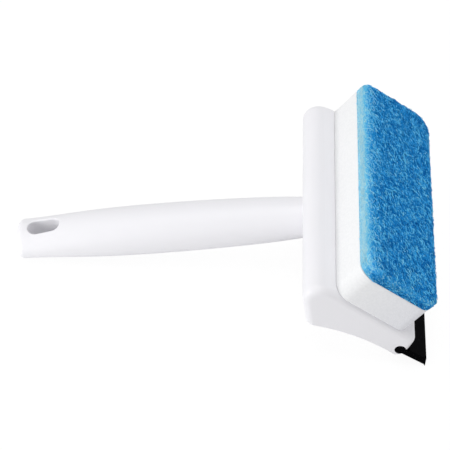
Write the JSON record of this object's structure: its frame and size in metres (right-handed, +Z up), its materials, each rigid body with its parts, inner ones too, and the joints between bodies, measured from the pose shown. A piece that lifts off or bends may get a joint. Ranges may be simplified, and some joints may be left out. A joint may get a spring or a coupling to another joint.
{
  "type": "window scrubber",
  "caption": "Window scrubber: hollow handle on a head set at 45 degrees, foam pad with a non-woven scouring face, and a rubber blade that slides into the head's free edge.",
  "frame": {"origin": "middle of the underside of the bounding box, on the surface that the tool lies on", "axes": "+X along the handle towards the head, level; +Y along the head and the rubber; +Z up. The tool lies as it would on a table, on the rubber's edge and the handle's far end"},
  "size_m": [0.2552, 0.164, 0.0821],
  "materials": {
    "white_plastic": "white moulded plastic, satin",
    "plate_plastic": "white moulded plastic, plain inside face",
    "screw_steel": "zinc-plated steel",
    "hook_tape": "hook tape, white",
    "loop_sheet": "brushed loop sheet, white",
    "white_foam": "open-cell foam, white, matt",
    "blue_nonwoven": "curled blue fibres bonded into an open scouring layer",
    "black_rubber": "black rubber, smooth, slightly shiny"
  },
  "bodies": {
    "scrubber": {"handle_grip": "white_plastic", "head_shell": "white_plastic", "pad_plate": "plate_plastic", "plate_screws": "screw_steel", "handle_screw": "screw_steel", "hook_strip_handle_side": "hook_tape", "hook_strip_blade_side": "hook_tape"},
    "pad": {"loop_backing": "loop_sheet", "foam_block": "white_foam", "scour_pad": "blue_nonwoven"},
    "blade": {"squeegee_rubber": "black_rubber"}
  },
  "joints": [
    {"name": "pad_lift", "type": "slide", "parent": "scrubber", "child": "pad", "axis": [0.5731, 0, 0.8195], "range_m": [0, 0.05]},
    {"name": "blade_slide", "type": "slide", "parent": "scrubber", "child": "blade", "axis": [0, -1, 0], "range_m": [0, 0.165]}
  ]
}
